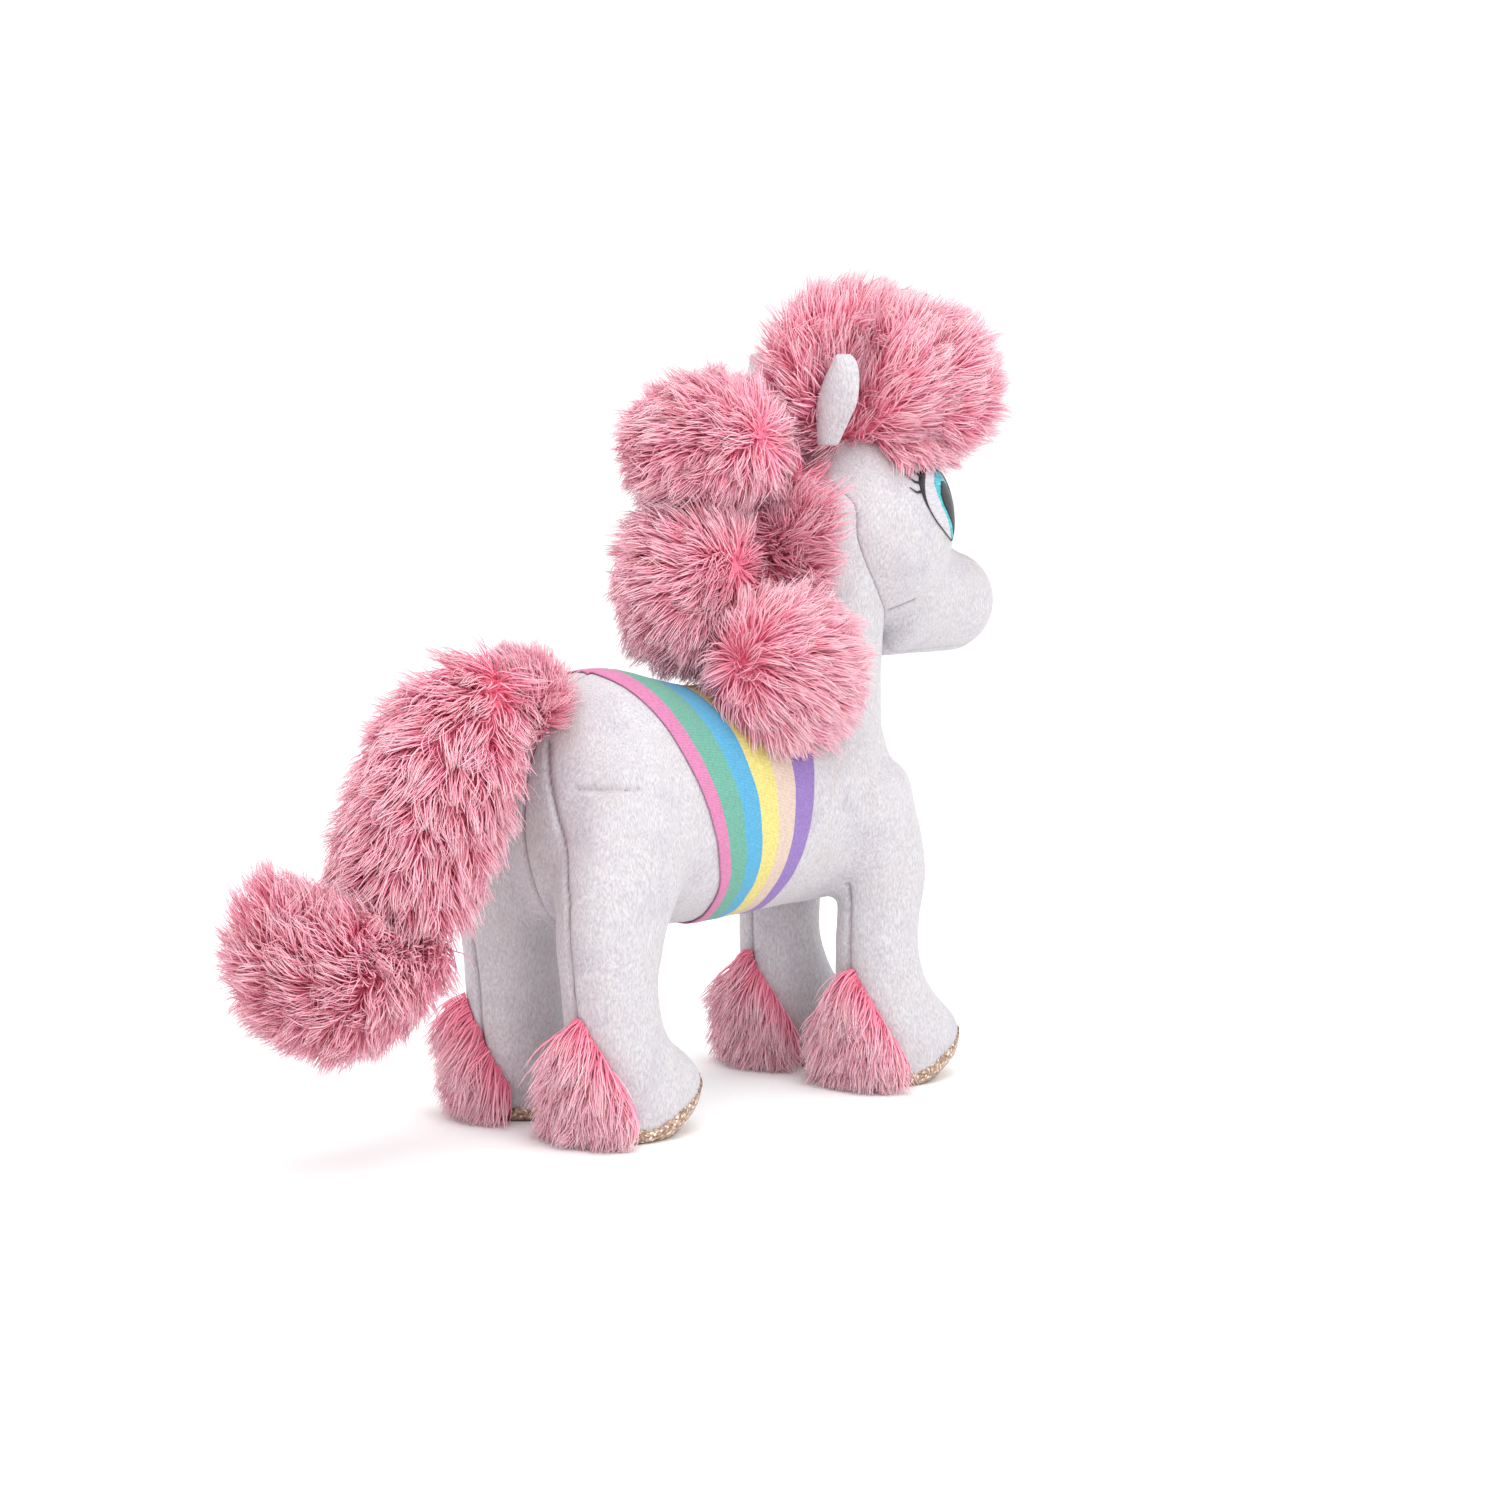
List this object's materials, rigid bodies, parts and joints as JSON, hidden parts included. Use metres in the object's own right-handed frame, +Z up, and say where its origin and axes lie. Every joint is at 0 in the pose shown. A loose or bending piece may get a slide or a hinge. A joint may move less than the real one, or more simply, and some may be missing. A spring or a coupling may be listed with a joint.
{
  "type": "plush unicorn",
  "caption": "Standing stuffed unicorn of short-pile plush with long-pile mane, tail and fetlock tufts, glitter-cloth hooves and a striped belly band.",
  "frame": {"origin": "on the floor, at the middle of the bounding box", "axes": "+Z up, the nose points along -Y, the right side is -X"},
  "size_m": [0.1014, 0.3538, 0.294],
  "materials": {
    "white_plush": "short brushed polyester pile",
    "polyester_filling": "loose polyester fibre",
    "pink_fur": "long-pile polyester fur with pale iridescent tips",
    "glitter_cloth": "champagne glitter-coated cloth",
    "striped_band": "printed stretch satin in six pastel stripes",
    "white_thread": "satin-stitch embroidery",
    "teal_thread": "satin-stitch embroidery",
    "black_thread": "satin-stitch embroidery",
    "fur_backing": "knitted backing of the mane cloth"
  },
  "bodies": {
    "body": {"head_panel_right": "white_plush", "head_panel_left": "white_plush", "face_gusset": "white_plush", "head_filling": "polyester_filling", "body_panel_right": "white_plush", "body_panel_left": "white_plush", "belly_panel_right": "white_plush", "belly_panel_left": "white_plush", "torso_filling": "polyester_filling", "neck_filling": "polyester_filling", "leg_filling_hind_right": "polyester_filling", "hoof_cap_hind_right": "glitter_cloth", "sole_hind_right": "glitter_cloth", "fetlock_tuft_hind_right": "pink_fur", "leg_filling_fore_right": "polyester_filling", "hoof_cap_fore_right": "glitter_cloth", "sole_fore_right": "glitter_cloth", "fetlock_tuft_fore_right": "pink_fur", "leg_filling_hind_left": "polyester_filling", "hoof_cap_hind_left": "glitter_cloth", "sole_hind_left": "glitter_cloth", "fetlock_tuft_hind_left": "pink_fur", "leg_filling_fore_left": "polyester_filling", "hoof_cap_fore_left": "glitter_cloth", "sole_fore_left": "glitter_cloth", "fetlock_tuft_fore_left": "pink_fur", "belly_band": "striped_band", "eye_lash_line_right": "black_thread", "eye_white_right": "white_thread", "eye_iris_right": "teal_thread", "eye_pupil_right": "black_thread", "eye_lash_line_left": "black_thread", "eye_white_left": "white_thread", "eye_iris_left": "teal_thread", "eye_pupil_left": "black_thread", "horn_skin": "glitter_cloth", "horn_filling": "polyester_filling", "forelock_crown": "pink_fur", "forelock_fringe": "pink_fur", "mane_crest_strip": "fur_backing"},
    "ear_right": {"ear_lining_right": "white_plush", "ear_back_right": "white_plush"},
    "ear_left": {"ear_lining_left": "white_plush", "ear_back_left": "white_plush"},
    "mane_upper": {"mane_lock_upper": "pink_fur"},
    "mane_middle": {"mane_lock_middle": "pink_fur"},
    "mane_lower": {"mane_lock_lower": "pink_fur"},
    "tail_dock": {"tail_dock": "pink_fur"},
    "tail": {"tail_upper": "pink_fur", "tail_upper_filling": "polyester_filling"},
    "tail_tip": {"tail_tip": "pink_fur", "tail_tip_filling": "polyester_filling"}
  },
  "joints": [
    {"name": "ear_right_fold", "type": "hinge", "parent": "body", "child": "ear_right", "pos_m": [-0.018, -0.08413, 0.233], "axis": [1, 0, 0], "range_deg": [-25, 20], "stiffness_Nm_per_rad": 0.006},
    {"name": "ear_left_fold", "type": "hinge", "parent": "body", "child": "ear_left", "pos_m": [0.018, -0.08413, 0.233], "axis": [1, 0, 0], "range_deg": [-25, 20], "stiffness_Nm_per_rad": 0.006},
    {"name": "mane_upper_swing", "type": "hinge", "parent": "body", "child": "mane_upper", "pos_m": [0, -0.07013, 0.222], "axis": [0, 0.3818, -0.9243], "range_deg": [-25, 25], "stiffness_Nm_per_rad": 0.015},
    {"name": "mane_middle_swing", "type": "hinge", "parent": "body", "child": "mane_middle", "pos_m": [0, -0.05513, 0.178], "axis": [0, 0.3818, -0.9243], "range_deg": [0, 30], "stiffness_Nm_per_rad": 0.015},
    {"name": "mane_lower_lift", "type": "hinge", "parent": "body", "child": "mane_lower", "pos_m": [-0.014, -0.04513, 0.18], "axis": [0, 1, 0], "range_deg": [0, 45]},
    {"name": "tail_swing", "type": "hinge", "parent": "body", "child": "tail_dock", "pos_m": [0, 0.05187, 0.151], "axis": [0, 0, 1], "range_deg": [-30, 30], "stiffness_Nm_per_rad": 0.03},
    {"name": "tail_lift", "type": "hinge", "parent": "tail_dock", "child": "tail", "pos_m": [0, 0.05187, 0.151], "axis": [1, 0, 0], "range_deg": [0, 45]},
    {"name": "tail_tip_bend", "type": "hinge", "parent": "tail", "child": "tail_tip", "pos_m": [0, 0.10087, 0.098], "axis": [1, 0, 0], "range_deg": [-20, 30], "stiffness_Nm_per_rad": 0.06, "springref_deg": 4.3}
  ]
}
